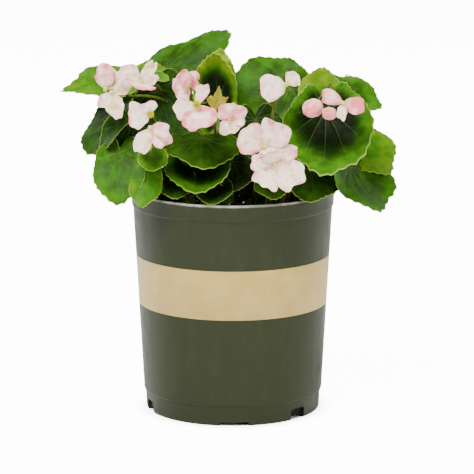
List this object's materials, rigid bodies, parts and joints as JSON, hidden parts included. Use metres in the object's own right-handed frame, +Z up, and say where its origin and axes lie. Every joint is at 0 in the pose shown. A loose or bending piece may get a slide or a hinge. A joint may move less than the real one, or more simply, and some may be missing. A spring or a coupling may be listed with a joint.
{
  "type": "potted begonia",
  "caption": "Flowering wax begonia in a round tapered nursery pot with a plain band, drain slots at the foot and potting mix inside.",
  "frame": {"origin": "centre of the pot's flat underside, on the pot's axis", "axes": "+Z up along the pot's axis, -Y towards the front of the plant, +X to the right seen from the front"},
  "size_m": [0.2707, 0.2247, 0.307],
  "materials": {
    "pot_plastic": "satin moulded polypropylene, olive green",
    "band_print": "smooth satin label stock, tan",
    "potting_mix": "damp peat and bark, matte",
    "foliage": "waxy glossy leaf",
    "petals": "soft satin petal, white to shell pink",
    "stamens": "powdery pollen yellow"
  },
  "bodies": {
    "root": {"pot": "pot_plastic", "printed_band": "band_print", "potting_mix": "potting_mix", "leafy_stem_back": "foliage", "leafy_stem_back_left": "foliage", "leafy_stem_back_right": "foliage", "leafy_stem_centre": "foliage", "leafy_stem_front": "foliage", "leafy_stem_left": "foliage", "leafy_stem_left_high": "foliage", "leafy_stem_right": "foliage", "bloom_01": "petals", "bloom_02": "petals", "bloom_03": "petals", "bloom_04": "petals", "bloom_05": "petals", "bloom_06": "petals", "bloom_07": "petals", "bloom_08": "petals", "bloom_09": "petals", "bloom_10": "petals", "bloom_11": "petals", "bloom_12": "petals", "bloom_13": "petals", "bloom_14": "petals", "bloom_15": "petals", "bloom_16": "petals", "bloom_17": "petals", "bloom_18": "petals", "bloom_19": "petals", "bloom_20": "petals", "bloom_21": "petals", "stamens_01": "stamens", "stamens_07": "stamens", "stamens_16": "stamens", "stamens_20": "stamens"}
  },
  "joints": []
}
